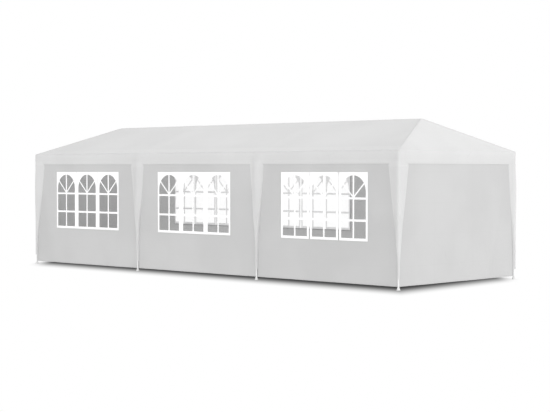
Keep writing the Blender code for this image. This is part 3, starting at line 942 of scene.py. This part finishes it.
def window_bars(wall, film_off):
    """The white print of one window, a thin raised layer on the film."""
    bm = bmesh.new()
    place = wall.name.replace("wall_", "")
    for left, right, clear_left, clear_right in window_units(place):
        mid = 0.5 * (clear_left + clear_right)
        panes = pane_holes(0.5 * (clear_right - clear_left), CLEAR_HALF[place.split("_")[0]])
        edge = [(left - mid, WIN_Z0), (right - mid, WIN_Z0), (right - mid, WIN_Z1), (left - mid, WIN_Z1)]
        loops = [finer(edge)] + [finer(p) for p in panes]
        flat = [p for loop in loops for p in loop]
        tris = geometry.tessellate_polygon([[Vector((x, z, 0.0)) for x, z in loop] for loop in loops])
        verts = [bm.verts.new(wall.point(wall.window + mid + x, z, film_off)) for x, z in flat]
        for tri in tris:
            try:
                bm.faces.new([verts[i] for i in tri])
            except ValueError:
                pass
    bmesh.ops.recalc_face_normals(bm, faces=bm.faces)
    mesh = bpy.data.meshes.new(wall.name)
    bm.to_mesh(mesh)
    bm.free()
    mesh.materials.append(PRINT)
    obj = bpy.data.objects.new(wall.name.replace("wall", "window") + "_bars", mesh)
    scene.collection.objects.link(obj)
    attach(obj, "root")
    return obj


def film_sheet(wall):
    us = spaced(wall.window - 0.5 * WIN_W - FILM_LAP, wall.window + 0.5 * WIN_W + FILM_LAP, 0.04)
    us.append(wall.window + 0.5 * WIN_W + FILM_LAP)
    zs = spaced(WIN_Z0 - FILM_LAP, WIN_Z1 + FILM_LAP, 0.04) + [WIN_Z1 + FILM_LAP]
    points = [wall.point(u, z, -0.0018) for z in zs for u in us]
    n = len(us)
    faces = [(i * n + k, i * n + k + 1, (i + 1) * n + k + 1, (i + 1) * n + k)
             for i in range(len(zs) - 1) for k in range(n - 1)]
    name = wall.name.replace("wall", "window")
    obj = add_mesh(name + "_film", points, faces, FILM)
    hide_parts(name)
    return obj


for wall in walls:
    side, place = wall.name.split("_")[1:]
    sheet = wall_sheet(wall)
    width, height = wall.span[1] - wall.span[0], WALL_Z1 - WALL_Z0
    hems = wall_tapes(wall)
    wall_ties(wall)
    if wall.window is not None:
        film = film_sheet(wall)
        bars = window_bars(wall, -0.0012)


# Legs and feet
def lathe(name, profile, centre, mat, sides=40):
    points, faces = [], []
    for r, z in profile:
        for k in range(sides):
            a = 2 * math.pi * k / sides
            points.append((centre[0] + r * math.cos(a), centre[1] + r * math.sin(a), z))
    for i in range(len(profile) - 1):
        for k in range(sides):
            n = (k + 1) % sides
            faces.append((i * sides + k, i * sides + n, (i + 1) * sides + n, (i + 1) * sides + k))
    faces.append(tuple(reversed(range(sides))))
    faces.append(tuple((len(profile) - 1) * sides + k for k in range(sides)))
    obj = add_mesh(name, points, faces, mat)
    obj.data.set_sharp_from_angle(angle=math.radians(38))
    return obj


FOOT_PROFILE = [(0.0284, 0.0), (0.0298, 0.0012), (0.0300, 0.0040), (0.0290, 0.0056), (0.0264, 0.0085),
                (0.0240, 0.0125), (0.0217, 0.0180), (0.0197, 0.0250), (0.0181, 0.0330), (0.0171, 0.0400),
                (0.0165, 0.0428), (0.0154, 0.0440), (0.0127, 0.0442)]
TUBE_PROFILE = [(LEG_R, 0.0300), (LEG_R, 0.990), (LEG_R - 0.0008, 0.9915), (LEG_R - 0.0008, 0.9935), (LEG_R, 0.995),
                (LEG_R, RAIL_Z - ARM - 0.0004)]
for j, (x, y) in enumerate(LEG_SPOTS):
    side = "front" if y < 0 else "back"
    number = j % 4 + 1
    tube = lathe("leg_tube_%s_%d" % (side, number), TUBE_PROFILE, (x, y), STEEL)
    foot = lathe("foot_%s_%d" % (side, number), FOOT_PROFILE, (x, y), FOOT_COAT)
    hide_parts("leg_%s_%d" % (side, number))

for name, node in cad_nodes.items():
    if name.startswith(("rail", "hip", "rafter", "ridge", "fitting")):
        node.data.materials.clear()
        node.data.materials.append(FITTING if name.startswith("fitting") else STEEL)
        node.data.shade_smooth()
        node.data.set_sharp_from_angle(angle=math.radians(35))

# Floor: white like the photo's, darkening where the tent shades it
FLOOR_HALF = 400.0
floor = bpy.data.objects.new("floor", bpy.data.meshes.new("floor"))
floor.data.from_pydata([(-FLOOR_HALF, -FLOOR_HALF, 0), (FLOOR_HALF, -FLOOR_HALF, 0), (FLOOR_HALF, FLOOR_HALF, 0),
                        (-FLOOR_HALF, FLOOR_HALF, 0)], [], [(0, 1, 2, 3)])
scene.collection.objects.link(floor)
floor_mat, tree = new_material("pale_floor")
place = tree.nodes.new("ShaderNodeSeparateXYZ")
spot = make(tree, "ShaderNodeNewGeometry", out="Position")
tree.links.new(spot, place.inputs[0])
px, py = place.outputs[0], place.outputs[1]


def fade(value, low, high):
    """0 at low and 1 at high, either way round."""
    t = make(tree, "ShaderNodeMapRange", {"Value": value, "From Min": low, "From Max": high})
    return make(tree, "ShaderNodeMapRange", {"Value": t}, interpolation_type="SMOOTHSTEP")


# painted soft shadow, seen only by the camera, that falls a little forward and to the right, and thins out towards the
# ends
left = calc(tree, "ADD", px, calc(tree, "MULTIPLY", 0.956, calc(tree, "ADD", py, 1.474)))
right = calc(tree, "ADD", py, calc(tree, "MULTIPLY", 1.046, calc(tree, "SUBTRACT", px, 4.384)))
skewed = calc(tree, "ADD", px, calc(tree, "MULTIPLY", 0.085, py))
forward = calc(tree, "ADD", py, calc(tree, "MULTIPLY", 0.017, px))
painted_shadow = calc(tree, "MINIMUM", fade(skewed, 4.93, 4.02), fade(forward, -2.22, -1.05))
for value, low, high in ((left, -4.64, -4.03), (right, 1.65, 1.08), (px, -5.00, -4.50), (py, 2.00, 1.50)):
    painted_shadow = calc(tree, "MULTIPLY", painted_shadow, fade(value, low, high))
# the painted shadow is darkest next to the walls and lighter towards the tent's middle
depth_in = calc(tree, "MINIMUM", calc(tree, "SUBTRACT", HALF_W, calc(tree, "ABSOLUTE", py)),
                calc(tree, "SUBTRACT", HALF_L, calc(tree, "ABSOLUTE", px)))
painted_shadow = calc(tree, "MULTIPLY", painted_shadow, calc(tree, "SUBTRACT", 0.94, calc(tree, "MULTIPLY", fade(depth_in, 0.45, 0.95), 0.36)))
# painted contact shade where the floor meets the tent, from a short ambient occlusion
near = make(tree, "ShaderNodeAmbientOcclusion", {"Distance": 0.10}, out="AO", samples=8)
near = make(tree, "ShaderNodeMapRange", {"Value": near, "From Min": 0.35, "From Max": 1.0, "To Min": 0.55})
tone = calc(tree, "MULTIPLY", calc(tree, "SUBTRACT", 1.0, painted_shadow), near)
inside = calc(tree, "GREATER_THAN", depth_in, 0.0)
apart = make(tree, "ShaderNodeVectorMath", {0: spot, 1: (-4.4, 0.05, 0.0)}, out="Value", operation="DISTANCE")
dim = calc(tree, "ADD", 1.015, calc(tree, "MULTIPLY", fade(apart, 1.6, 0.7), 0.53))
dim = calc(tree, "ADD", dim, calc(tree, "MULTIPLY", fade(px, -3.0, -4.4), 0.03))
dim = calc(tree, "ADD", dim, calc(tree, "MULTIPLY", fade(px, 1.6, 4.2), 0.24))
apart = make(tree, "ShaderNodeVectorMath", {0: spot, 1: (-3.7, 1.4, 0.0)}, out="Value", operation="DISTANCE")
dim = calc(tree, "SUBTRACT", dim, calc(tree, "MULTIPLY", fade(apart, 1.3, 0.3), 0.40))
light = calc(tree, "SUBTRACT", 1.50, calc(tree, "MULTIPLY", inside, dim))
beyond = calc(tree, "MULTIPLY", fade(px, -4.4, -4.6), fade(calc(tree, "ABSOLUTE", py), 1.8, 1.1))
light = calc(tree, "SUBTRACT", light, calc(tree, "MULTIPLY", beyond, 1.15))
# the camera sees the floor with its painted shadow; other rays take the floor's light
seen = make(tree, "ShaderNodeLightPath", out="Is Camera Ray")
strength = make(tree, "ShaderNodeEmission", {"Color": (1.0, 1.0, 1.0, 1.0), "Strength": tone})
bounce = make(tree, "ShaderNodeEmission", {"Color": (1.0, 1.0, 1.0, 1.0), "Strength": light})
finish_material(tree, make(tree, "ShaderNodeMixShader", {0: seen, 1: bounce, 2: strength}))
floor.data.materials.append(floor_mat)

# Light: an even white studio, a little stronger from the plain end's side
world = bpy.data.worlds.new("studio")
scene.world = world
world.use_nodes = True
tree = world.node_tree
tree.nodes.clear()
way = tree.nodes.new("ShaderNodeSeparateXYZ")
tree.links.new(make(tree, "ShaderNodeTexCoord", out="Generated"), way.inputs[0])
right, left = calc(tree, "MAXIMUM", way.outputs[0], 0.0), calc(tree, "MAXIMUM", calc(tree, "MULTIPLY", way.outputs[0], -1.0), 0.0)
level = calc(tree, "ADD", 0.878, calc(tree, "MULTIPLY", right, 0.560))
level = calc(tree, "SUBTRACT", level, calc(tree, "MULTIPLY", left, 0.211))
level = calc(tree, "SUBTRACT", level, calc(tree, "POWER", left, 4.0))
level = calc(tree, "ADD", level, calc(tree, "MULTIPLY", way.outputs[2], 0.62))
front = calc(tree, "MAXIMUM", calc(tree, "MULTIPLY", way.outputs[1], -1.0), 0.0)
level = calc(tree, "SUBTRACT", level, calc(tree, "MULTIPLY", front, 0.040))
level = calc(tree, "MAXIMUM", level, 0.05)
soft = make(tree, "ShaderNodeBackground", {"Color": (1.0, 1.0, 1.0, 1.0), "Strength": level})
white = make(tree, "ShaderNodeBackground", {"Color": (1.0, 1.0, 1.0, 1.0), "Strength": 1.0})
seen = make(tree, "ShaderNodeLightPath", out="Is Camera Ray")
both = make(tree, "ShaderNodeMixShader", {0: seen, 1: soft, 2: white})
out = tree.nodes.new("ShaderNodeOutputWorld")
tree.links.new(both, out.inputs["Surface"])

scene.view_settings.view_transform = "Standard"
scene.view_settings.look = "None"

# Camera, fitted to the photo's feet, eaves, ridge and windows
camera = bpy.data.objects.new("camera", bpy.data.cameras.new("camera"))
scene.collection.objects.link(camera)
camera.location = (17.4122, -17.739, 1.7596)
camera.rotation_euler = (math.radians(90.0 - 1.4141), 0.0, math.radians(43.7153))
camera.data.sensor_width = 36.0
camera.data.lens = 1404.2 / 550 * 36.0
scene.camera = camera
